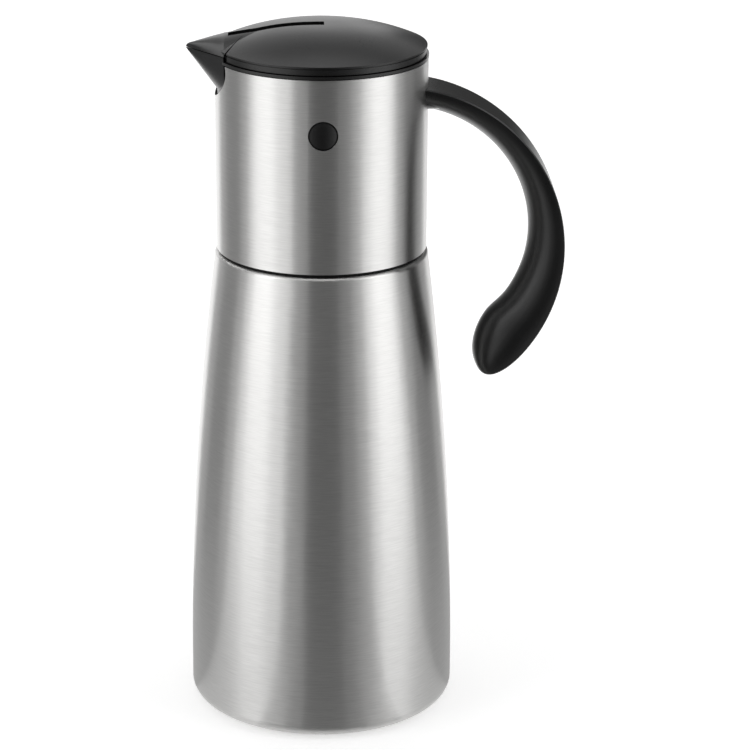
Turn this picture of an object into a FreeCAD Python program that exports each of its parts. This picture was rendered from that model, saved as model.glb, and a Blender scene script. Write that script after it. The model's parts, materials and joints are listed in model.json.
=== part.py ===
import FreeCAD, Part
import math
import os

os.makedirs("parts", exist_ok=True)
V = FreeCAD.Vector

# Steel collar and the insulated body below it
collar_radius = 42.0
collar_wall = 0.8
collar_bottom_z = 194.5
collar_height = 77.0
body_base_radius = 54.3
body_lip = 0.5
body_lip_round = 1.4
body_corner_radius = 5.0
body_wall = 0.8
joint_gap = 1.5
joint_recess = 1.0
pad_thickness = 1.6
pad_show = 1.0
pad_inset = 1.5
foot_flange = 6.0
base_plate_thickness = 0.8
plug_radius = 5.0
plug_height = 1.2
jacket_gap = 7.0
vessel_floor_gap = 8.0
vessel_corner_radius = 10.0
neck_gap = 1.4

# Collar core, gasket and pour insert
fit_gap = 0.1
loose_gap = 0.3
gasket_height = 3.2
core_thickness = 6.8
core_lip = 10.0
throat_step = 4.0
insert_depth = 35.5
seal_height = 1.2
seal_width = 3.6
tube_wall = 2.5
skirt_wall = 2.5
skirt_gap = 0.2
deck_height = 19.9
deck_thickness = 2.5
flange_overhang = 0.2
flange_height = 1.5
flange_gap = 0.4

# Beak
beak_overhang = 11.1
beak_tip_rise = 3.5
beak_half_angle = 49.5
beak_axis_dip = 3.5
beak_wall = 2.0
beak_root_half = 17.8
beak_part_rise = -0.3
beak_seam = 0.35
notch_half_angle = 49.3
notch_axis_dip = 9.1
notch_gap = 0.2
notch_corner_gap = 1.0
ridge_start_back = 28.3
ridge_start_rise = 7.2
ridge_mid_back = 16.5
ridge_mid_rise = 5.3
tip_blunt = 0.12
nose_length = 1.4
nose_rise = 1.5
crease_start_back = 22.6
crease_start_half = 4.5
crease_mid_back = 18.4
crease_mid_half = 12.4
crease_width = 1.0
crease_depth = 0.8
beak_sections = 8

# Lid
lid_gap = 0.3
lid_rim_inset = 0.45
lid_band_height = 3.25
lid_band_inset = 0.3
lid_edge_height = 0.6
lid_groove_height = 0.5
lid_groove_depth = 0.7
dome_rise = 7.95
dome_power = 2.32
dome_station_count = 8
shell_thickness = 2.2
slot_width = 6.0
slot_start = -1.0
slot_length = 37.6
slot_depth = 2.6
slot_rib_side = 2.0
lid_base_thickness = 2.0
lid_base_gap = 0.3
plug_gap = 0.7
plug_wall = 2.0
plug_bottom_rise = 4.0
plug_flange = 3.0
port_radius = 8.0
port_edge = 3.3
window_half = 12.0
window_sill = 2.0
lid_seal_rise = 7.0
lid_seal_height = 3.0
lid_seal_groove = 1.4
lid_seal_fit = 0.15
foam_gap = 0.4
foam_front = 5.0
foam_top_gap = 5.8
lid_screw_count = 3
lid_screw_offset = 4.0
lid_screw_length = 4.8
screw_radius = 1.5
screw_head_radius = 2.6
screw_head_height = 1.6
boss_wall = 1.9

# Pour flap
flap_thickness = 1.6
flap_overlap = 2.0
flap_arm_half = 4.0
flap_seal_thickness = 0.8
flap_lift_gap = 0.3
flap_pin_radius = 1.0
flap_pin_clearance = 0.05
flap_knuckle_wall = 1.0
flap_ear_thickness = 2.0
flap_ear_gap = 0.4

# Side buttons
button_drop = 21.7
button_radius = 5.2
button_hole_gap = 0.6
button_recess = 0.5
button_dish = 0.9
button_flange = 1.6
button_flange_thickness = 2.0
button_travel = 2.5
button_pocket_gap = 0.35
pocket_wall = 2.0
spring_radius = 4.0
spring_wire = 0.35
spring_room = 5.0
spring_half_turns = 6

# Handle, a D-shaped section that swells along an arc from its root to its bulb
handle_half_width = 11.8
handle_root_drop = 11.1
handle_root_thickness = 9.4
handle_root_bury = 4.0
handle_reach = 54.8
handle_belly_drop = 65.9
handle_bulb_thickness = 20.6
handle_bulb_angle = 127.0
handle_end_angle = 147.0
handle_swell_angle = 20.0
handle_swell_power = 1.85
handle_squareness = 1.85
handle_edge = 0.45
handle_toe = 5.5
handle_bulge = 1.2
handle_sections = 12
handle_end_sections = 10
handle_end_ratio = 0.997
handle_point_count = 13
handle_screw_drop = 18.5
handle_screw_half_spacing = 6.0
handle_screw_length = 12.0
handle_plate_thickness = 1.8
handle_plate_half_width = 10.0
handle_plate_half_height = 2.8

# Sizes that follow from the ones above
collar_top_z = collar_bottom_z + collar_height
collar_inner = collar_radius - collar_wall
body_top_z = collar_bottom_z - joint_gap
body_top_radius = collar_radius + body_lip
body_bottom_z = pad_show
body_tangent_z = body_bottom_z + body_corner_radius
side_height = body_top_z - body_tangent_z
side_drop = body_base_radius - body_top_radius
side_radius = (side_height ** 2 + side_drop ** 2) / (2.0 * side_drop)
side_centre = body_base_radius - side_radius
neck_outer = collar_inner - fit_gap - core_thickness - loose_gap
neck_radius = neck_outer - body_wall - neck_gap - body_wall
throat_radius = neck_radius - throat_step
core_top_z = collar_top_z - insert_depth
gasket_top_z = core_top_z - core_lip
lip_top_z = gasket_top_z - gasket_height
neck_top_z = lip_top_z - body_wall
tube_bottom_z = core_top_z + seal_height
skirt_outer = collar_inner - skirt_gap
skirt_inner = skirt_outer - skirt_wall
deck_z = core_top_z + deck_height
deck_top_z = deck_z + deck_thickness
flange_radius = collar_radius + flange_overhang
flange_top_z = collar_top_z + flange_height
tip_x = -(collar_radius + beak_overhang)
tip_z = collar_top_z + beak_tip_rise
beak_root_x = -math.sqrt(collar_radius ** 2 - beak_root_half ** 2)
part_slope = beak_part_rise / (beak_root_x - tip_x)
lid_bottom_z = flange_top_z + lid_gap
lid_radius = collar_radius - lid_rim_inset
lid_band_top_z = lid_bottom_z + lid_band_height
apex_z = lid_band_top_z + dome_rise
lid_base_top_z = lid_bottom_z + lid_base_thickness
plug_outer = throat_radius - plug_gap
plug_inner = plug_outer - plug_wall
plug_bottom_z = tube_bottom_z + plug_bottom_rise
plug_floor_top_z = plug_bottom_z + plug_wall
port_offset = plug_inner - port_radius - port_edge
lid_screw_circle = throat_radius + lid_screw_offset
button_z = collar_top_z - button_drop
far = 4.0 * collar_radius


def arc(a, b, c):
    return Part.Arc(a, b, c).toShape()


def line(a, b):
    return Part.LineSegment(a, b).toShape()


def turned(edges):
    wire = Part.Wire(Part.__sortEdges__(edges))
    solid = Part.Face(wire).revolve(V(0, 0, 0), V(0, 0, 1), 360)
    return tidy(solid)


def turned_points(points):
    corners = [V(r, 0, z) for r, z in points]
    corners.append(corners[0])
    wire = Part.makePolygon(corners)
    return tidy(Part.Face(wire).revolve(V(0, 0, 0), V(0, 0, 1), 360))


def tidy(shape):
    solids = shape.Solids
    body = solids[0] if len(solids) == 1 else shape
    if body.Volume < 0:
        body = body.reversed()
    return body


def ring(inner, outer, bottom, top):
    solid = Part.makeCylinder(outer, top - bottom, V(0, 0, bottom))
    if inner <= 0:
        return solid
    return solid.cut(Part.makeCylinder(inner, top - bottom, V(0, 0, bottom)))


def rod(radius, start, end):
    along = end - start
    return Part.makeCylinder(radius, along.Length, start, along)


def block(x0, x1, y0, y1, z0, z1):
    return Part.makeBox(x1 - x0, y1 - y0, z1 - z0, V(x0, y0, z0))


def save(name, shape):
    solid = shape.removeSplitter()
    if not solid.isValid():
        raise RuntimeError(name + " is not a valid solid")
    if len(solid.Solids) == 1:
        solid = solid.Solids[0]
    solid.exportStep("parts/" + name + ".step")
    print(name, len(solid.Solids), round(solid.Volume, 1))


# The long curve of the body's side, moved inwards by an inset
def side_r(z, inset):
    return side_centre + math.sqrt((side_radius - inset) ** 2 - (z - body_tangent_z) ** 2)


def side_arc(inset, bottom, top):
    middle = 0.5 * (bottom + top)
    low = V(side_r(bottom, inset), 0, bottom)
    mid = V(side_r(middle, inset), 0, middle)
    high = V(side_r(top, inset), 0, top)
    return arc(low, mid, high)


def corner_arc(centre_r, centre_z, radius):
    half = radius * math.sqrt(0.5)
    low = V(centre_r, 0, centre_z - radius)
    mid = V(centre_r + half, 0, centre_z - half)
    high = V(centre_r + radius, 0, centre_z)
    return arc(low, mid, high)


def chain(points):
    return [line(a, b) for a, b in zip(points[:-1], points[1:])]


# Outer body with its shoulder and neck
corner_r = body_base_radius - body_corner_radius
flange_r = corner_r - foot_flange
shoulder_z = body_top_z - body_wall
lip_start = body_top_z - body_lip_round
lip_r = side_r(lip_start, 0) - body_lip_round
lip_half = body_lip_round * math.sqrt(0.5)
inner_neck_r = neck_outer - body_wall
edges = chain([
    V(flange_r, 0, body_bottom_z + body_wall),
    V(flange_r, 0, body_bottom_z),
    V(corner_r, 0, body_bottom_z),
])
edges.append(corner_arc(corner_r, body_tangent_z, body_corner_radius))
edges.append(side_arc(0, body_tangent_z, lip_start))
lip_low = V(lip_r + body_lip_round, 0, lip_start)
lip_mid = V(lip_r + lip_half, 0, lip_start + lip_half)
edges.append(arc(lip_low, lip_mid, V(lip_r, 0, body_top_z)))
edges += chain([
    V(lip_r, 0, body_top_z),
    V(neck_outer, 0, body_top_z),
    V(neck_outer, 0, neck_top_z),
    V(inner_neck_r, 0, neck_top_z),
    V(inner_neck_r, 0, shoulder_z),
    V(side_r(shoulder_z, body_wall), 0, shoulder_z),
])
edges.append(side_arc(body_wall, body_tangent_z, shoulder_z))
edges.append(corner_arc(corner_r, body_tangent_z, body_corner_radius - body_wall))
edges.append(line(V(corner_r, 0, body_bottom_z + body_wall), V(flange_r, 0, body_bottom_z + body_wall)))
outer_body = turned(edges)
save("outer_body", outer_body)

# Inner vessel, welded to the neck's end
vessel_inset = body_wall + jacket_gap
vessel_bottom_z = body_bottom_z + body_wall + base_plate_thickness + vessel_floor_gap
vessel_turn_z = vessel_bottom_z + vessel_corner_radius
vessel_shoulder_z = shoulder_z - jacket_gap
vessel_neck_outer = neck_radius + body_wall
vessel_turn_r = side_r(vessel_turn_z, vessel_inset) - vessel_corner_radius
vessel_in_z = vessel_shoulder_z - body_wall
edges = [line(V(0, 0, vessel_bottom_z), V(vessel_turn_r, 0, vessel_bottom_z))]
edges.append(corner_arc(vessel_turn_r, vessel_turn_z, vessel_corner_radius))
edges.append(side_arc(vessel_inset, vessel_turn_z, vessel_shoulder_z))
edges += chain([
    V(side_r(vessel_shoulder_z, vessel_inset), 0, vessel_shoulder_z),
    V(vessel_neck_outer, 0, vessel_shoulder_z),
    V(vessel_neck_outer, 0, neck_top_z),
    V(neck_outer, 0, neck_top_z),
    V(neck_outer, 0, lip_top_z),
    V(neck_radius, 0, lip_top_z),
    V(neck_radius, 0, vessel_in_z),
    V(side_r(vessel_in_z, vessel_inset + body_wall), 0, vessel_in_z),
])
vessel_in_turn_r = side_r(vessel_turn_z, vessel_inset + body_wall) - (vessel_corner_radius - body_wall)
edges.append(side_arc(vessel_inset + body_wall, vessel_turn_z, vessel_in_z))
edges.append(corner_arc(vessel_in_turn_r, vessel_turn_z, vessel_corner_radius - body_wall))
edges += chain([
    V(vessel_in_turn_r, 0, vessel_bottom_z + body_wall),
    V(0, 0, vessel_bottom_z + body_wall),
    V(0, 0, vessel_bottom_z),
])
save("inner_vessel", turned(edges))

# Base plate, seal plug and standing pad
plate_z = body_bottom_z + body_wall
plate_r = corner_r
save("base_plate", ring(0, plate_r, plate_z, plate_z + base_plate_thickness))
plug_z = plate_z - plug_height
save("vacuum_seal_plug", ring(0, plug_radius, plug_z, plate_z))
pad = ring(0, flange_r - pad_inset, 0, plate_z)
pad = pad.cut(ring(0, plug_radius + loose_gap, plug_z, plate_z))
save("base_pad", pad)

# Ring in the joint, collar core and gasket
save("joint_ring", ring(neck_outer + loose_gap, collar_radius - joint_recess, body_top_z, collar_bottom_z))
core = turned_points([
    (neck_outer + loose_gap, collar_bottom_z),
    (collar_inner - fit_gap, collar_bottom_z),
    (collar_inner - fit_gap, core_top_z),
    (throat_radius, core_top_z),
    (throat_radius, gasket_top_z),
    (neck_outer + loose_gap, gasket_top_z),
])
save("collar_core", core)
save("neck_gasket", ring(neck_radius, neck_outer, lip_top_z, gasket_top_z))
save("insert_seal", ring(throat_radius + loose_gap, throat_radius + seal_width, core_top_z, tube_bottom_z))

# Cone of the beak, with its point moved along the axis to thicken or thin it
def cone_at_tip(angle, dip, grow):
    half = math.radians(angle)
    down = math.radians(dip)
    axis = V(math.cos(down), 0, -math.sin(down))
    apex = V(tip_x, 0, tip_z) - axis * (grow / math.sin(half))
    return Part.makeCone(0, collar_radius * math.tan(half), collar_radius, apex, axis)


def beak_cone(grow):
    return cone_at_tip(beak_half_angle, beak_axis_dip, grow)


def part_z(x):
    return tip_z + part_slope * (x - tip_x)


# Everything below the seam between the two halves of the beak
def below_seam(rise):
    x0 = tip_x - collar_radius
    x1 = collar_radius
    points = [
        V(x0, 0, 0),
        V(x1, 0, 0),
        V(x1, 0, part_z(x1) + rise),
        V(x0, 0, part_z(x0) + rise),
        V(x0, 0, 0),
    ]
    face = Part.Face(Part.makePolygon(points))
    prism = face.extrude(V(0, far, 0))
    prism.translate(V(0, -0.5 * far, 0))
    return prism


beak_side_room = block(-far, beak_root_x, -far, far, 0, far + apex_z)
channel_room = block(-far, beak_root_x + beak_wall, -far, far, 0, far + apex_z)
lower_cone = beak_cone(0).common(below_seam(0)).common(beak_side_room)
channel = beak_cone(-beak_wall).common(below_seam(beak_seam)).common(channel_room)

# Steel sleeve of the collar
button_hole = button_radius + button_hole_gap
sleeve = ring(collar_inner, collar_radius, collar_bottom_z, collar_top_z)
notch_room = block(-far, beak_root_x + notch_corner_gap, -far, far, 0, far + apex_z)
notch = cone_at_tip(notch_half_angle, notch_axis_dip, notch_gap)
sleeve = sleeve.cut(notch.common(notch_room))
sleeve = sleeve.cut(rod(button_hole, V(0, -far, button_z), V(0, far, button_z)))
handle_screw_z = collar_top_z - handle_screw_drop
screw_ys = [-handle_screw_half_spacing, handle_screw_half_spacing]
for y in screw_ys:
    sleeve = sleeve.cut(rod(screw_radius + fit_gap, V(0, y, handle_screw_z), V(far, y, handle_screw_z)))
save("collar_sleeve", sleeve)

# Pour insert: throat tube, deck, skirt, flange, lower beak and button pockets
insert = turned_points([
    (throat_radius, tube_bottom_z),
    (throat_radius + tube_wall, tube_bottom_z),
    (throat_radius + tube_wall, deck_z),
    (skirt_inner, deck_z),
    (skirt_inner, core_top_z),
    (skirt_outer, core_top_z),
    (skirt_outer, collar_top_z + flange_gap),
    (flange_radius, collar_top_z + flange_gap),
    (flange_radius, flange_top_z),
    (skirt_inner, flange_top_z),
    (skirt_inner, deck_top_z),
    (throat_radius, deck_top_z),
])
flange_y = math.sqrt(collar_inner ** 2 - (button_radius + button_flange) ** 2) - loose_gap
pocket_r = button_radius + button_flange + button_pocket_gap
pocket_floor_y = flange_y - button_flange_thickness - spring_room
pocket_bottom_y = pocket_floor_y - pocket_wall
inside_skirt = ring(0, skirt_outer, 0, far + apex_z)
for side in (-1, 1):
    boss_in = V(0, side * pocket_bottom_y, button_z)
    boss_out = V(0, side * collar_radius, button_z)
    boss = rod(pocket_r + pocket_wall, boss_in, boss_out)
    insert = insert.fuse(boss.common(inside_skirt))
beak_shell = lower_cone.cut(ring(0, collar_radius, flange_top_z, far + apex_z))
beak_shell = beak_shell.cut(ring(0, skirt_inner, 0, far + apex_z))
insert = insert.fuse(beak_shell)
insert = insert.cut(channel)
for side in (-1, 1):
    insert = insert.cut(rod(pocket_r, V(0, side * pocket_floor_y, button_z), V(0, side * far, button_z)))
plate_window = block(
    0,
    far,
    -handle_plate_half_width - loose_gap,
    handle_plate_half_width + loose_gap,
    handle_screw_z - handle_plate_half_height - loose_gap,
    handle_screw_z + handle_plate_half_height + loose_gap,
)
window_ring = ring(skirt_inner - fit_gap, far, 0, far + apex_z)
insert = insert.cut(plate_window.common(window_ring))
save("pour_insert", insert)

# Side buttons and their springs
for side, name in ((-1, "near_button"), (1, "far_button")):
    back_y = flange_y - button_flange_thickness
    face_y = collar_radius - button_recess
    back = V(0, side * back_y, button_z)
    head = rod(button_radius, back, V(0, side * face_y, button_z))
    collar = rod(button_radius + button_flange, back, V(0, side * flange_y, button_z))
    ball = (button_radius ** 2 + button_dish ** 2) / (2.0 * button_dish)
    dish = Part.makeSphere(ball, V(0, side * (face_y + ball - button_dish), button_z))
    save(name, head.fuse(collar).cut(dish))
    length = spring_room - 2.0 * spring_wire - 2.0 * fit_gap
    pitch = length / spring_half_turns
    start_y = pocket_floor_y + spring_wire + fit_gap
    nodes = []
    for k in range(spring_half_turns + 1):
        x = spring_radius if k % 2 == 0 else -spring_radius
        nodes.append(V(x, side * (start_y + k * pitch), button_z))
    bends = []
    for k in range(spring_half_turns):
        chord = nodes[k + 1] - nodes[k]
        sign = 1 if k % 2 == 0 else -1
        middle = (nodes[k] + nodes[k + 1]) * 0.5 + V(0, 0, sign * 0.5 * chord.Length)
        bends.append(arc(nodes[k], middle, nodes[k + 1]))
    path = Part.Wire(bends)
    ring_wire = Part.Wire(Part.makeCircle(spring_wire, nodes[0], V(0, 0, 1)))
    coil = path.makePipeShell([ring_wire], True, False)
    print("spring self gap", round(2.0 * pitch - 2.0 * spring_wire, 3))
    save(name + "_spring", coil)

# Handle: D-shaped sections stand on an arc, with their flat side out
root_z = collar_top_z - handle_root_drop
belly_z = root_z - handle_belly_drop
arc_radius = (handle_reach ** 2 + handle_belly_drop ** 2) / (2.0 * handle_reach)
arc_centre = V(collar_radius + handle_reach - arc_radius, 0, belly_z)
swell_end = handle_bulb_angle - handle_swell_angle


def handle_share(turn):
    share = min(max((turn - handle_swell_angle) / swell_end, 0.0), 1.0)
    return share ** handle_swell_power


def handle_depth(turn):
    swell = handle_bulb_thickness - handle_root_thickness
    return handle_root_thickness + swell * handle_share(turn)


def handle_section(turn, half, inset, depth, bulge):
    angle = math.radians(turn)
    out = V(math.sin(angle), 0, math.cos(angle))
    face = arc_centre + out * (arc_radius - inset)
    edge = min(handle_edge, 0.5 * half)
    foot = face - out * edge
    last = handle_point_count - 1
    power = 2.0 / handle_squareness
    points = [foot + V(0, half, 0)]
    for k in range(1, last):
        around = math.pi * k / last
        across = math.copysign(abs(math.cos(around)) ** power, math.cos(around))
        down = math.sin(around) ** power
        swell = math.copysign(bulge * math.sin(math.pi * down), across)
        points.append(foot + V(0, half * across + swell, 0) - out * ((depth - edge) * down))
    points.append(foot - V(0, half, 0))
    curve = Part.BSplineCurve()
    curve.interpolate(points)
    near = face - V(0, half - edge, 0)
    far_side = face + V(0, half - edge, 0)
    flat = [line(points[-1], near), line(near, far_side), line(far_side, points[0])]
    return Part.Wire([curve.toShape()] + flat)


root_turn = math.degrees(math.asin((collar_radius - handle_root_bury - arc_centre.x) / arc_radius))
sections = []
for k in range(handle_sections):
    turn = root_turn + (handle_bulb_angle - root_turn) * k / handle_sections
    bulge = handle_bulge * handle_share(turn)
    sections.append(handle_section(turn, handle_half_width, 0.0, handle_depth(turn), bulge))
for k in range(handle_end_sections + 1):
    share = math.sin(0.5 * math.pi * k / handle_end_sections) * handle_end_ratio
    turn = handle_bulb_angle + (handle_end_angle - handle_bulb_angle) * share
    fall = math.sqrt(1.0 - share ** 2)
    half = handle_half_width * math.sqrt(fall)
    inset = handle_toe * (1.0 - fall) ** 2
    reach = handle_toe + (handle_bulb_thickness - handle_toe) * fall
    sections.append(handle_section(turn, half, inset, reach - inset, handle_bulge * fall))
handle = Part.makeLoft(sections, True, False)
handle = handle.cut(ring(0, collar_radius, 0, far + apex_z))
handle = max(handle.Solids, key=lambda s: s.Volume)
screw_tip_x = collar_radius + handle_screw_length
for y in screw_ys:
    handle = handle.cut(rod(screw_radius, V(0, y, handle_screw_z), V(screw_tip_x, y, handle_screw_z)))
save("handle", handle)

# Plate behind the sleeve, and the two handle screws
plate = block(
    0,
    far,
    -handle_plate_half_width,
    handle_plate_half_width,
    handle_screw_z - handle_plate_half_height,
    handle_screw_z + handle_plate_half_height,
)
plate_outer = collar_inner
plate_inner = collar_inner - handle_plate_thickness
plate = plate.common(ring(plate_inner, plate_outer, 0, far + apex_z))
screws = []
head_x = math.sqrt(plate_inner ** 2 - (handle_screw_half_spacing + screw_head_radius) ** 2)
for y in screw_ys:
    shank = rod(screw_radius, V(head_x, y, handle_screw_z), V(screw_tip_x, y, handle_screw_z))
    plate = plate.cut(rod(screw_radius, V(0, y, handle_screw_z), V(far, y, handle_screw_z)))
    plate = plate.cut(rod(screw_head_radius, V(0, y, handle_screw_z), V(head_x, y, handle_screw_z)))
    head_back = V(head_x - screw_head_height, y, handle_screw_z)
    head = rod(screw_head_radius, head_back, V(head_x, y, handle_screw_z))
    screws.append(shank.fuse(head).removeSplitter())
save("handle_plate", plate)
save("handle_screws", Part.makeCompound(screws))


# Lid shell: dome, band, upper beak and slot
def dome_z(r):
    return apex_z - dome_rise * (r / lid_radius) ** dome_power


def dome_curve(reach, drop):
    points = []
    for k in range(dome_station_count + 1):
        r = reach * k / dome_station_count
        points.append(V(r, 0, dome_z(r) - drop))
    curve = Part.BSplineCurve()
    curve.interpolate(points)
    return curve.toShape()


shell_inner = lid_radius - shell_thickness
inner_top = dome_z(shell_inner) - shell_thickness
band_radius = lid_radius - lid_band_inset
groove_inner = lid_radius - lid_groove_depth
groove_z = lid_band_top_z - lid_edge_height - lid_groove_height
edges = [dome_curve(lid_radius, 0)]
edges += chain([
    V(lid_radius, 0, lid_band_top_z),
    V(lid_radius, 0, lid_band_top_z - lid_edge_height),
    V(groove_inner, 0, lid_band_top_z - lid_edge_height),
    V(groove_inner, 0, groove_z),
    V(band_radius, 0, groove_z),
    V(band_radius, 0, lid_bottom_z),
    V(shell_inner, 0, lid_bottom_z),
    V(shell_inner, 0, inner_top),
])
edges.append(dome_curve(shell_inner, shell_thickness))
edges.append(line(V(0, 0, apex_z - shell_thickness), V(0, 0, apex_z)))
shell = turned(edges)
edges = [dome_curve(lid_radius, 0)]
edges += chain([
    V(lid_radius, 0, lid_band_top_z),
    V(lid_radius, 0, lid_bottom_z),
    V(0, 0, lid_bottom_z),
    V(0, 0, apex_z),
])
dome_full = turned(edges)

# Height of the beak's ridge, a smooth curve through its start, its middle and the tip
ridge_x = [tip_x + ridge_start_back, tip_x + ridge_mid_back, tip_x]
ridge_h = [ridge_start_rise, ridge_mid_rise, nose_rise]


def beak_part_drop(x):
    return part_z(x) + beak_seam - tip_z


def ridge_z(x):
    total = 0.0
    for i in range(len(ridge_x)):
        term = ridge_h[i]
        for j in range(len(ridge_x)):
            if j != i:
                term *= (x - ridge_x[j]) / (ridge_x[i] - ridge_x[j])
        total += term
    short = max(1.0 - (x - tip_x) / nose_length, 0.0)
    return part_z(x) + beak_seam + (total - beak_part_drop(x)) * math.sqrt(1.0 - short ** 2)


def beak_section(x, half):
    low = part_z(x) + beak_seam
    left = V(x, -half, low)
    right = V(x, half, low)
    top = V(x, 0, ridge_z(x))
    return Part.Wire([arc(left, top, right), line(right, left)])


beak_side = beak_root_half / (beak_root_x - tip_x)
sections = []
first_x = tip_x + tip_blunt
for k in range(beak_sections + 1):
    x = first_x + (beak_root_x - first_x) * (k / beak_sections) ** 2
    sections.append(beak_section(x, beak_side * (x - tip_x)))
outer_beak = Part.makeLoft(sections, True, False)
sections = []
for k in range(beak_sections + 1):
    x = beak_root_x + (ridge_x[0] - beak_root_x) * k / beak_sections
    sections.append(beak_section(x, beak_root_half))
inner_beak = Part.makeLoft(sections, True, False)
root_block = inner_beak.common(ring(0, lid_radius, 0, far + apex_z))
slot_end = slot_start + slot_length
slot_half = 0.5 * slot_width
rib_half = slot_half + slot_rib_side
rib = block(
    -slot_end - slot_rib_side,
    -slot_start + slot_rib_side,
    -rib_half,
    rib_half,
    lid_base_top_z + lid_base_gap,
    apex_z,
)
rib = rib.common(dome_full)
rib = rib.cut(ring(shell_inner, far, 0, far + apex_z))
shell = shell.fuse(root_block).fuse(outer_beak).fuse(rib)
shell = shell.cut(ring(0, shell_inner, 0, lid_base_top_z + lid_base_gap))
beak_clear = beak_cone(lid_gap).common(below_seam(beak_seam)).common(channel_room)
shell = shell.cut(beak_clear.common(ring(lid_radius, far, 0, far + apex_z)))
shell = shell.cut(channel)


# Crease between the beak and the dome, wide at the rim and closing towards the ridge
def crease(side):
    start = V(tip_x + crease_start_back, side * crease_start_half, 0)
    middle = V(tip_x + crease_mid_back, side * crease_mid_half, 0)
    end = V(beak_root_x, side * (beak_root_half + crease_width), 0)
    along = (end - start).normalize()
    across = V(abs(along.y), -side * along.x, 0) * crease_width
    wire = Part.Wire([
        arc(start, middle, end),
        line(end, end + across),
        arc(end + across, middle + across * 0.5, start),
    ])
    return Part.Face(wire).extrude(V(0, 0, far + apex_z))


dome_low = dome_full.copy()
dome_low.translate(V(0, 0, -crease_depth))
rim_zone = ring(band_radius - crease_width, far, 0, far + apex_z)
for side in (-1, 1):
    strip = crease(side)
    shell = shell.cut(strip.cut(dome_low))
    shell = shell.cut(strip.common(rim_zone))
floor_in = dome_z(abs(slot_start)) - slot_depth
floor_out = ridge_z(-slot_end) - slot_depth
slot_points = [
    V(-slot_end, 0, floor_out),
    V(-slot_start, 0, floor_in),
    V(-slot_start, 0, apex_z + slot_depth),
    V(-slot_end, 0, apex_z + slot_depth),
    V(-slot_end, 0, floor_out),
]
slot = Part.Face(Part.makePolygon(slot_points)).extrude(V(0, slot_width, 0))
slot.translate(V(0, -slot_half, 0))
shell = shell.cut(slot)
lid_screw_spots = []
for k in range(lid_screw_count):
    turn = 2.0 * math.pi * k / lid_screw_count
    lid_screw_spots.append(V(lid_screw_circle * math.cos(turn), lid_screw_circle * math.sin(turn), 0))
for spot in lid_screw_spots:
    boss_foot = spot + V(0, 0, lid_base_top_z)
    boss = Part.makeCylinder(screw_radius + boss_wall, apex_z - lid_base_top_z, boss_foot)
    shell = shell.fuse(boss.common(dome_full))
    shell = shell.cut(Part.makeCylinder(screw_radius, lid_screw_length, spot + V(0, 0, lid_bottom_z)))
save("lid_shell", shell)

# Lid base, its screws, and the plug that hangs from it into the throat
base_r = shell_inner - fit_gap
plug_flange_r = plug_outer + plug_flange
lid_base = ring(0, base_r, lid_bottom_z, lid_base_top_z)
lid_screws = []
for spot in lid_screw_spots:
    foot = spot + V(0, 0, lid_bottom_z)
    lid_base = lid_base.cut(Part.makeCylinder(screw_radius, lid_base_thickness, foot))
    shank = Part.makeCylinder(screw_radius, lid_screw_length, foot)
    head = Part.makeCylinder(screw_head_radius, screw_head_height, foot - V(0, 0, screw_head_height))
    lid_screws.append(shank.fuse(head).removeSplitter())
save("lid_base", lid_base)
save("lid_screws", Part.makeCompound(lid_screws))
seal_z = plug_bottom_z + lid_seal_rise
plug = ring(plug_inner, plug_outer, plug_bottom_z, lid_bottom_z)
plug = plug.fuse(ring(0, plug_outer, plug_bottom_z, plug_floor_top_z))
plug = plug.cut(Part.makeCylinder(port_radius, plug_wall, V(-port_offset, 0, plug_bottom_z)))
sill_z = deck_top_z + window_sill
plug = plug.cut(block(-far, -port_offset, -window_half, window_half, sill_z, lid_bottom_z - plug_wall))
groove_r = plug_outer - lid_seal_groove
plug = plug.cut(ring(groove_r, far, seal_z, seal_z + lid_seal_height))
pin_x = -port_offset + port_radius + flap_overlap + flap_knuckle_wall + flap_pin_radius
pin_z = plug_floor_top_z + flap_lift_gap + flap_seal_thickness + flap_thickness
knuckle_r = flap_pin_radius + flap_pin_clearance + flap_knuckle_wall
ear_in = flap_arm_half + flap_ear_gap
ear_out = ear_in + flap_ear_thickness
for side in (-1, 1):
    low = side * ear_in if side > 0 else side * ear_out
    high = low + flap_ear_thickness
    ear = block(pin_x - knuckle_r, pin_x + knuckle_r, low, high, plug_floor_top_z, pin_z + knuckle_r)
    ear = ear.cut(rod(flap_pin_radius, V(pin_x, -far, pin_z), V(pin_x, far, pin_z)))
    plug = plug.fuse(ear)
save("lid_plug", plug)
save("lid_seal", ring(groove_r, throat_radius - lid_seal_fit, seal_z, seal_z + lid_seal_height))
foam_z = plug_floor_top_z
foam = ring(0, plug_inner - foam_gap, foam_z, lid_bottom_z - foam_top_gap)
foam = foam.common(block(foam_front, far, -far, far, 0, far + apex_z))
save("lid_plug_foam", foam)

# Pour flap, its seal and its pin
flap_z = plug_floor_top_z + flap_lift_gap + flap_seal_thickness
flap_r = port_radius + flap_overlap
flap = Part.makeCylinder(flap_r, flap_thickness, V(-port_offset, 0, flap_z))
arm = block(-port_offset, pin_x, -flap_arm_half, flap_arm_half, flap_z, flap_z + flap_thickness)
knuckle = rod(knuckle_r, V(pin_x, -flap_arm_half, pin_z), V(pin_x, flap_arm_half, pin_z))
flap = flap.fuse(arm).fuse(knuckle)
pin_hole = flap_pin_radius + flap_pin_clearance
flap = flap.cut(rod(pin_hole, V(pin_x, -far, pin_z), V(pin_x, far, pin_z)))
save("pour_flap", flap)
save("flap_pin", rod(flap_pin_radius, V(pin_x, -ear_out, pin_z), V(pin_x, ear_out, pin_z)))
seal_foot = V(-port_offset, 0, flap_z - flap_seal_thickness)
flap_seal = Part.makeCylinder(flap_r, flap_seal_thickness, seal_foot)
flap_seal = flap_seal.cut(Part.makeCylinder(port_radius - flap_overlap, flap_seal_thickness, seal_foot))
save("flap_seal", flap_seal)
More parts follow.
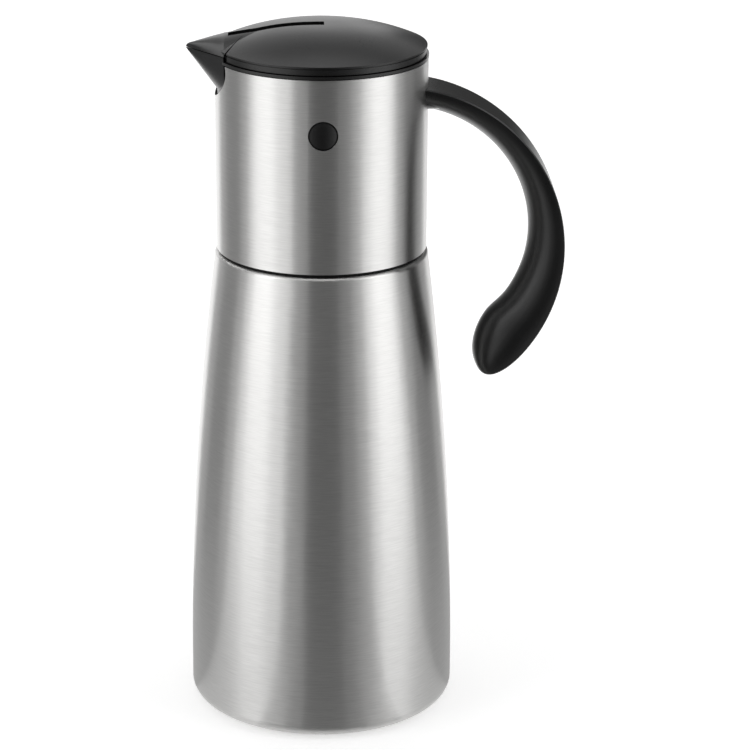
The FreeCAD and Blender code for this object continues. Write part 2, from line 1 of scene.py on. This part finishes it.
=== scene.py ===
import json
import math
import bpy
from mathutils import Matrix, Vector


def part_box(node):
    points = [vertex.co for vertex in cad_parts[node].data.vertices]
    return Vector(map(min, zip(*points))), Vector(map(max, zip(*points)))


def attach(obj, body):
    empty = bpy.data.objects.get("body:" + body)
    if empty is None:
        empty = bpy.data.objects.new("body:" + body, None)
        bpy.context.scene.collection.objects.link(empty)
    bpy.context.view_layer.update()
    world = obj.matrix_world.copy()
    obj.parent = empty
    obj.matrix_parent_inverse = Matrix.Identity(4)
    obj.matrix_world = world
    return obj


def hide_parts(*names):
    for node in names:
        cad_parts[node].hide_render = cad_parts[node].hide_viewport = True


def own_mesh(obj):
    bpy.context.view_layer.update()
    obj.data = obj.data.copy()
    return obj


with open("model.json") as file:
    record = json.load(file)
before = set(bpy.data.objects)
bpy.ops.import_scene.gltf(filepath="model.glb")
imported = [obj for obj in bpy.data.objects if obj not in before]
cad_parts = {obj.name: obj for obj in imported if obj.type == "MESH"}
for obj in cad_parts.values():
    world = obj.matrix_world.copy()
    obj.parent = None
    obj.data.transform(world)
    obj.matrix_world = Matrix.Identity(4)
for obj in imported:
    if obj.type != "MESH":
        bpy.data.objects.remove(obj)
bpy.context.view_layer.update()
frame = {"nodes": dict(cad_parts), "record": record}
nodes = frame["nodes"]
scene = bpy.context.scene
scene.view_settings.view_transform = "Standard"

MM = 0.001
WHITE = (1.0, 1.0, 1.0, 1.0)
BLACK = (0.0, 0.0, 0.0, 1.0)

# Surface detail; sizes are noise scales per metre
NOISE_LOW = 0.3
NOISE_HIGH = 0.7
BUMP_DEPTH = 0.1 * MM
EVEN = (1.0, 1.0, 1.0)
CLOUD_DETAIL = 3.0
CLOUD_ROUGH_SPREAD = 0.02
BRUSH_STRETCH = (0.4, 0.4, 9.0)
BRUSH_SIZE = 300.0
BRUSH_DETAIL = 4.0
BRUSH_SHARPNESS = 0.65
BRUSH_ROUGH_SPREAD = 0.04
BRUSH_BUMP = 0.06
STEEL_CLOUD_STRETCH = (1.0, 1.0, 0.6)
STEEL_CLOUD_SIZE = 22.0
QUARTER_TURN = 0.25
PLASTIC_DETAIL = 3.0
PLASTIC_ROUGH_SPREAD = 0.03
PLASTIC_CLOUD_SIZE = 35.0


def new_material(name):
    mat = bpy.data.materials.new(name)
    mat.use_nodes = True
    tree = mat.node_tree
    return mat, tree, tree.nodes["Principled BSDF"]


def node(tree, kind, **values):
    made = tree.nodes.new(kind)
    for key, value in values.items():
        setattr(made, key, value)
    return made


def mapped_noise(tree, stretch, size, detail, sharpness=0.5):
    """Noise on the object's own coordinates in metres."""
    coord = node(tree, "ShaderNodeTexCoord")
    mapping = node(tree, "ShaderNodeMapping")
    mapping.inputs["Scale"].default_value = stretch
    noise = node(tree, "ShaderNodeTexNoise")
    noise.inputs["Scale"].default_value = size
    noise.inputs["Detail"].default_value = detail
    noise.inputs["Roughness"].default_value = sharpness
    tree.links.new(coord.outputs["Object"], mapping.inputs["Vector"])
    tree.links.new(mapping.outputs["Vector"], noise.inputs["Vector"])
    return noise.outputs["Fac"]


def map_range(tree, source, from_low, from_high, low, high):
    ramp = node(tree, "ShaderNodeMapRange")
    ramp.inputs["From Min"].default_value = from_low
    ramp.inputs["From Max"].default_value = from_high
    ramp.inputs["To Min"].default_value = low
    ramp.inputs["To Max"].default_value = high
    tree.links.new(source, ramp.inputs["Value"])
    return ramp.outputs["Result"]


def spread(tree, noise, low, high):
    return map_range(tree, noise, NOISE_LOW, NOISE_HIGH, low, high)


def math_node(tree, operation, first, second):
    made = node(tree, "ShaderNodeMath", operation=operation)
    tree.links.new(first, made.inputs[0])
    tree.links.new(second, made.inputs[1])
    return made.outputs["Value"]


def tint(tree, shader, noise, dark, light):
    mix = node(tree, "ShaderNodeMix", data_type="RGBA")
    mix.inputs["A"].default_value = (*dark, 1.0)
    mix.inputs["B"].default_value = (*light, 1.0)
    tree.links.new(spread(tree, noise, 0.0, 1.0), mix.inputs["Factor"])
    tree.links.new(mix.outputs["Result"], shader.inputs["Base Color"])


def roughen(tree, shader, fine, fine_spread, cloud, rough):
    grain = spread(tree, fine, rough - fine_spread, rough + fine_spread)
    drift = spread(tree, cloud, -CLOUD_ROUGH_SPREAD, CLOUD_ROUGH_SPREAD)
    tree.links.new(math_node(tree, "ADD", grain, drift), shader.inputs["Roughness"])


def bump(tree, shader, height, strength):
    made = node(tree, "ShaderNodeBump")
    made.inputs["Strength"].default_value = strength
    made.inputs["Distance"].default_value = BUMP_DEPTH
    tree.links.new(height, made.inputs["Height"])
    tree.links.new(made.outputs["Normal"], shader.inputs["Normal"])


def brushed_steel(name, dark, light, rough, anisotropy):
    mat, tree, shader = new_material(name)
    grain = mapped_noise(tree, BRUSH_STRETCH, BRUSH_SIZE, BRUSH_DETAIL, BRUSH_SHARPNESS)
    cloud = mapped_noise(tree, STEEL_CLOUD_STRETCH, STEEL_CLOUD_SIZE, CLOUD_DETAIL)
    tint(tree, shader, grain, dark, light)
    roughen(tree, shader, grain, BRUSH_ROUGH_SPREAD, cloud, rough)
    bump(tree, shader, grain, BRUSH_BUMP)
    tangent = node(tree, "ShaderNodeTangent", direction_type="RADIAL", axis="Z")
    tree.links.new(tangent.outputs["Tangent"], shader.inputs["Tangent"])
    shader.inputs["Metallic"].default_value = 1.0
    shader.inputs["Anisotropic"].default_value = anisotropy
    shader.inputs["Anisotropic Rotation"].default_value = QUARTER_TURN
    return mat


def plastic(name, dark, light, rough, grain_size, bump_strength, shine=0.5):
    mat, tree, shader = new_material(name)
    fine = mapped_noise(tree, EVEN, grain_size, PLASTIC_DETAIL)
    cloud = mapped_noise(tree, EVEN, PLASTIC_CLOUD_SIZE, CLOUD_DETAIL)
    tint(tree, shader, cloud, dark, light)
    roughen(tree, shader, fine, PLASTIC_ROUGH_SPREAD, cloud, rough)
    bump(tree, shader, fine, bump_strength)
    shader.inputs["Specular IOR Level"].default_value = shine
    return mat


steel = brushed_steel(
    "brushed_steel", (0.585, 0.582, 0.574), (0.690, 0.687, 0.677), rough=0.36, anisotropy=0.94
)
vessel_steel = brushed_steel(
    "vessel_steel", (0.58, 0.58, 0.57), (0.66, 0.66, 0.65), rough=0.34, anisotropy=0.6
)
hardware = brushed_steel(
    "hardware_steel", (0.42, 0.42, 0.42), (0.58, 0.58, 0.58), rough=0.32, anisotropy=0.3
)
black = plastic(
    "black_plastic", (0.0026, 0.0026, 0.0027), (0.0042, 0.0042, 0.0044),
    rough=0.31, grain_size=2600.0, bump_strength=0.10,
)
grip_black = plastic(
    "grip_black", (0.0022, 0.0022, 0.0023), (0.0036, 0.0036, 0.0038),
    rough=0.31, grain_size=2600.0, bump_strength=0.03,
)
# Joint ring: dark plastic, darkened further as painted shade for the recessed seam between collar and
# body
black_with_painted_seam_shade = plastic(
    "black_with_painted_seam_shade", (0.0016, 0.0016, 0.0016), (0.0024, 0.0024, 0.0025),
    rough=0.55, grain_size=1800.0, bump_strength=0.12, shine=0.15,
)
inner_black = plastic(
    "inner_plastic", (0.0100, 0.0100, 0.0104), (0.0160, 0.0160, 0.0165),
    rough=0.5, grain_size=1800.0, bump_strength=0.15,
)
silicone = plastic(
    "silicone", (0.035, 0.035, 0.037), (0.055, 0.055, 0.058),
    rough=0.62, grain_size=1200.0, bump_strength=0.12,
)
foam = plastic(
    "foam", (0.74, 0.72, 0.67), (0.88, 0.86, 0.82),
    rough=0.85, grain_size=900.0, bump_strength=0.6,
)

by_slot = {
    "brushed_shell": steel,
    "hardware_steel": hardware,
    "black_plastic": black,
    "inner_plastic": inner_black,
    "silicone": silicone,
    "foam": foam,
}
for part in frame["record"]["subparts"]:
    mesh = nodes[part["node"]].data
    mesh.materials.clear()
    mesh.materials.append(by_slot[part["material_slot"]])
nodes["inner_vessel"].data.materials[0] = vessel_steel
# The joint ring takes the extra dark material: its own dark plastic plus painted shade for the
# recessed seam
nodes["joint_ring"].data.materials[0] = black_with_painted_seam_shade
nodes["handle"].data.materials[0] = grip_black

# The button springs, which on the real jug shorten as the buttons go in; here each is one coil fixed
# to the jug
WIRE = 0.35 * MM
TURNS = 3
STEPS_PER_TURN = 40
WIRE_SIDES = 12
ALONG = Vector((0.0, 1.0, 0.0))


def coil_mesh(name, low, high):
    """One unbroken coil along Y that fills the box from low to high."""
    radius = 0.5 * (high.x - low.x) - WIRE
    middle = 0.5 * (low + high)
    steps = TURNS * STEPS_PER_TURN
    verts = []
    for k in range(steps + 1):
        angle = 2.0 * math.pi * k / STEPS_PER_TURN
        out = Vector((math.cos(angle), 0.0, math.sin(angle)))
        rise = low.y + WIRE + (high.y - low.y - 2.0 * WIRE) * k / steps
        centre = Vector((middle.x, rise, middle.z)) + radius * out
        for corner in range(WIRE_SIDES):
            around = 2.0 * math.pi * corner / WIRE_SIDES
            verts.append(centre + WIRE * (math.cos(around) * out + math.sin(around) * ALONG))
    faces = []
    for k in range(steps):
        here = k * WIRE_SIDES
        there = here + WIRE_SIDES
        for corner in range(WIRE_SIDES):
            after = (corner + 1) % WIRE_SIDES
            faces.append((here + corner, here + after, there + after, there + corner))
    side_count = len(faces)
    faces.append(tuple(reversed(range(WIRE_SIDES))))
    faces.append(tuple(range(steps * WIRE_SIDES, (steps + 1) * WIRE_SIDES)))
    mesh = bpy.data.meshes.new(name)
    mesh.from_pydata(verts, [], faces)
    mesh.polygons.foreach_set("use_smooth", [k < side_count for k in range(len(faces))])
    mesh.materials.append(hardware)
    return mesh


for button, side in (("near_button", -1.0), ("far_button", 1.0)):
    low, high = (Vector(corner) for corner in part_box(button + "_spring"))
    coil = bpy.data.objects.new(button + "_coil", coil_mesh(button + "_coil", low, high))
    scene.collection.objects.link(coil)
    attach(coil, "jug")
    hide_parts(button + "_spring")
    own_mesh(coil)

# Camera at the photograph's place
IMAGE_SIZE = 750.0
FOCAL_PIXELS = 2821.3
PAN_PIXELS = 53.4
SENSOR = 36.0
SIGHT = 50.0
PLACE = Vector((-15.2, -1084.3, 525.1)) * MM
AIM = Vector((0.0, 0.0, 138.56)) * MM


def facing(place, aim):
    look = (aim - place).to_track_quat("-Z", "Y").to_matrix().to_4x4()
    return Matrix.Translation(place) @ look


camera_data = bpy.data.cameras.new("camera")
camera_data.sensor_width = SENSOR
camera_data.lens = SENSOR * FOCAL_PIXELS / IMAGE_SIZE
camera_data.clip_end = SIGHT
camera = bpy.data.objects.new("camera", camera_data)
scene.collection.objects.link(camera)
pan = Matrix.Rotation(-math.atan(PAN_PIXELS / FOCAL_PIXELS), 4, "Y")
camera.matrix_world = facing(PLACE, AIM) @ pan
scene.camera = camera

# World: white to the camera and in reflections, a softer fill for shading
FILL = 0.55


def seen_rays(tree):
    """One for rays from the camera, a reflection or glass, and nothing for the rest."""
    path = node(tree, "ShaderNodeLightPath")
    seen = math_node(tree, "MAXIMUM", path.outputs["Is Camera Ray"], path.outputs["Is Glossy Ray"])
    return math_node(tree, "MAXIMUM", seen, path.outputs["Is Transmission Ray"])


def background(tree, strength):
    made = node(tree, "ShaderNodeBackground")
    made.inputs["Color"].default_value = WHITE
    made.inputs["Strength"].default_value = strength
    return made.outputs["Background"]


world = bpy.data.worlds.new("studio")
scene.world = world
world.use_nodes = True
tree = world.node_tree
tree.nodes.clear()
both = node(tree, "ShaderNodeMixShader")
tree.links.new(seen_rays(tree), both.inputs["Fac"])
tree.links.new(background(tree, FILL), both.inputs[1])
tree.links.new(background(tree, 1.0), both.inputs[2])
out = node(tree, "ShaderNodeOutputWorld")
tree.links.new(both.outputs["Shader"], out.inputs["Surface"])

# Floor: white, with the object's soft shadow; it is lifted more where the lamps reach it less
FLOOR_HALF = 12.0
FLOOR_GREY = (0.9, 0.9, 0.9, 1.0)
FLOOR_ROUGH = 0.9
LIFT_START = 0.3
LIFT_END = 1.3
LIFT_NEAR = 0.37
LIFT_FAR = 0.53


def stage_mesh(name, verts, faces, material):
    mesh = bpy.data.meshes.new(name)
    mesh.from_pydata(verts, [], faces)
    mesh.materials.append(material)
    made = bpy.data.objects.new(name, mesh)
    scene.collection.objects.link(made)
    return made


floor_white, tree, shader = new_material("floor_white")
shader.inputs["Base Color"].default_value = FLOOR_GREY
shader.inputs["Roughness"].default_value = FLOOR_ROUGH
shader.inputs["Specular IOR Level"].default_value = 0.0
shader.inputs["Emission Color"].default_value = WHITE
coord = node(tree, "ShaderNodeTexCoord")
away = node(tree, "ShaderNodeVectorMath", operation="LENGTH")
tree.links.new(coord.outputs["Object"], away.inputs[0])
level = map_range(tree, away.outputs["Value"], LIFT_START, LIFT_END, LIFT_NEAR, LIFT_FAR)
tree.links.new(math_node(tree, "MULTIPLY", seen_rays(tree), level), shader.inputs["Emission Strength"])
floor_corners = [
    (-FLOOR_HALF, -FLOOR_HALF, 0.0),
    (FLOOR_HALF, -FLOOR_HALF, 0.0),
    (FLOOR_HALF, FLOOR_HALF, 0.0),
    (-FLOOR_HALF, FLOOR_HALF, 0.0),
]
stage_mesh("floor", floor_corners, [(0, 1, 2, 3)], floor_white)

# Studio cards round the object, seen only in reflections
CARD_STEPS = 12
TABLE = 0.6 * MM
NEAR_TABLE = 0.9 * MM
FOOT = 0.056
ROOM_RADIUS = 2.2
ROOM_HEIGHT = 3.2
BACK_RADIUS = 1.6
BACK_FOOT = 0.02
BACK_LOW = 0.45
BACK_MIDDLE = 0.90
BACK_HIGH = 1.60
CENTRE = 0.001
ZENITH_HEIGHT = 1.95


def card_material(name, glow):
    mat, tree, shader = new_material(name)
    shader.inputs["Base Color"].default_value = BLACK
    shader.inputs["Roughness"].default_value = 1.0
    shader.inputs["Specular IOR Level"].default_value = 0.0
    shader.inputs["Emission Color"].default_value = WHITE
    shader.inputs["Emission Strength"].default_value = glow
    return mat


def card(name, start, end, rows, glow):
    """A card swept between two turns from the camera's side, through (radius, height) rows."""
    verts = []
    for k in range(CARD_STEPS + 1):
        turn = math.radians(start + (end - start) * k / CARD_STEPS)
        for radius, height in rows:
            verts.append((radius * math.sin(turn), -radius * math.cos(turn), height))
    faces = []
    count = len(rows)
    for k in range(CARD_STEPS):
        for row in range(count - 1):
            low = count * k + row
            faces.append((low, low + 1, low + count + 1, low + count))
    made = stage_mesh(name, verts, faces, card_material(name + "_card", glow))
    made.visible_camera = False
    made.visible_diffuse = False
    made.visible_shadow = False
    made.visible_transmission = False


def upright(radius, low, high):
    return [(radius, low), (radius, high)]


def level_card(inner, outer, height):
    return [(inner, height), (outer, height)]


wall = [(0.2, TABLE), (ROOM_RADIUS, TABLE), (ROOM_RADIUS, ROOM_HEIGHT)]
near = level_card(FOOT, 0.22, NEAR_TABLE)
back_low = upright(BACK_RADIUS, BACK_FOOT, BACK_LOW)

# Name: first turn, last turn, rows, glow, where 1 is white and more stands for a lamp
cards = {
    "front": (-15.0, 17.0, wall, 0.12),
    "front_left": (-32.0, -15.0, wall, 0.42),
    "front_right": (17.0, 31.0, wall, 0.27),
    "front_right_edge": (31.0, 43.0, wall, 0.52),
    "left_edge": (-97.0, -85.0, wall, 0.58),
    "right_edge": (85.0, 97.0, wall, 0.58),
    "left": (-124.0, -97.0, wall, 0.31),
    "right": (97.0, 124.0, wall, 0.31),
    "back_left": (-142.0, -124.0, wall, 0.50),
    "back_right": (124.0, 142.0, wall, 0.50),
    "back_low": (176.0, 218.0, back_low, 0.95),
    "back_low_right": (142.0, 176.0, back_low, 0.30),
    "back_middle": (142.0, 218.0, upright(BACK_RADIUS, BACK_LOW, BACK_MIDDLE), 1.20),
    "behind_handle": (110.0, 167.0, upright(0.35, 0.20, 0.40), 0.10),
    "back_high": (142.0, 218.0, upright(BACK_RADIUS, BACK_MIDDLE, BACK_HIGH), 0.50),
    "back_top": (142.0, 218.0, upright(BACK_RADIUS, BACK_HIGH, ROOM_HEIGHT), 0.28),
    "above_beak": (207.0, 240.0, upright(1.55, 1.35, 2.9), 1.9),
    "back_table": (142.0, 218.0, level_card(FOOT, BACK_RADIUS, TABLE), 1.5),
    "near_front": (-11.0, 13.0, near, 0.21),
    "near_front_left_edge": (-19.0, -11.0, near, 0.31),
    "near_front_right_edge": (13.0, 22.0, near, 0.27),
    "near_front_left": (-32.0, -19.0, near, 0.42),
    "near_front_right": (22.0, 40.0, near, 0.36),
    "near_left": (-85.0, -32.0, near, 0.78),
    "near_right": (40.0, 85.0, near, 0.78),
    "near_back_left": (-142.0, -85.0, near, 0.50),
    "near_back_right": (85.0, 142.0, near, 0.50),
    "zenith": (0.0, 360.0, level_card(CENTRE, 0.55, ZENITH_HEIGHT), 3.0),
    "ceiling": (0.0, 360.0, level_card(CENTRE, ROOM_RADIUS, ROOM_HEIGHT), 0.28),
}
for name, (start, end, rows, glow) in cards.items():
    card(name, start, end, rows, glow)

# Soft lamps at both sides and above
LAMP_AIM = Vector((0.0, 0.0, 0.2))


def softbox(name, turn, distance, middle, width, height, power):
    data = bpy.data.lights.new(name, "AREA")
    data.shape = "RECTANGLE"
    data.size = width
    data.size_y = height
    data.energy = power
    lamp = bpy.data.objects.new(name, data)
    scene.collection.objects.link(lamp)
    angle = math.radians(turn)
    spot = Vector((distance * math.sin(angle), -distance * math.cos(angle), middle))
    lamp.matrix_world = facing(spot, LAMP_AIM)
    lamp.visible_camera = False


softbox("left_box", turn=-64.0, distance=1.6, middle=1.0, width=0.85, height=2.0, power=7.2)
softbox("right_box", turn=66.0, distance=1.6, middle=1.0, width=0.85, height=2.0, power=6.9)
softbox("top_box", turn=180.0, distance=0.5, middle=2.0, width=1.4, height=1.4, power=5.0)
